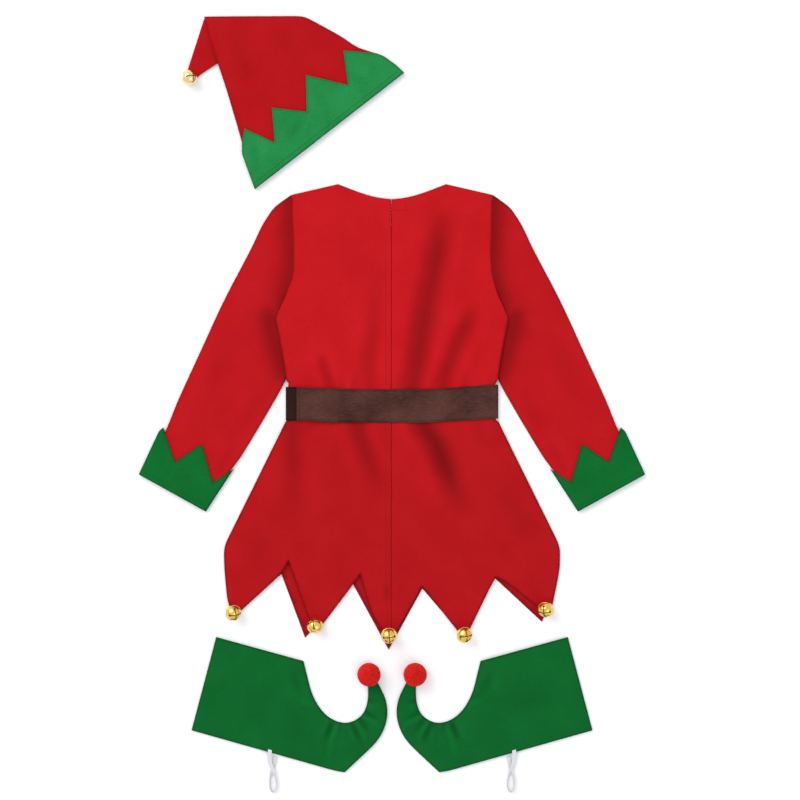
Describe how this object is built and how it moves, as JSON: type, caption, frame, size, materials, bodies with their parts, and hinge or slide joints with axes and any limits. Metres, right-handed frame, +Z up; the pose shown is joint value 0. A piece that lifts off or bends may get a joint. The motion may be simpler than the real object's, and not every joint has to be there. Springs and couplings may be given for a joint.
{
  "type": "child's elf costume laid flat",
  "caption": "Elf costume laid flat, back up: belted tunic with zigzag hem and bells, pointed hat and curl-toed shoe covers with pompoms.",
  "frame": {"origin": "centre of the costume's outline, on the surface it lies on", "axes": "+X towards the wearer's right side, +Y from the shoe covers to the hat, +Z up from the surface"},
  "size_m": [0.76, 1.166, 0.0353],
  "materials": {
    "red_felt": "brushed polyester felt, red",
    "green_felt": "felt, green",
    "band_felt": "felt, lighter green",
    "brown_felt": "dense pressed felt, brown",
    "red_wool": "wool yarn, red",
    "white_elastic": "woven elastic, white",
    "brass": "polished brass plate"
  },
  "bodies": {
    "root": {"tunic_front": "red_felt", "tunic_back_left": "red_felt", "tunic_back_right": "red_felt", "sleeve_left": "red_felt", "sleeve_right": "red_felt", "hat_tip": "red_felt", "hat_under": "red_felt", "hat_upper": "red_felt", "cuff_left": "green_felt", "cuff_right": "green_felt", "shoe_left_under": "green_felt", "shoe_left_upper": "green_felt", "shoe_right_under": "green_felt", "shoe_right_upper": "green_felt", "hat_band_under": "band_felt", "hat_band_upper": "band_felt", "belt": "brown_felt", "pompom_left": "red_wool", "pompom_right": "red_wool", "elastic_left": "white_elastic", "elastic_right": "white_elastic", "bell_hem_1": "brass", "bell_hem_2": "brass", "bell_hem_3": "brass", "bell_hem_4": "brass", "bell_hem_5": "brass", "bell_hat": "brass"}
  },
  "joints": []
}
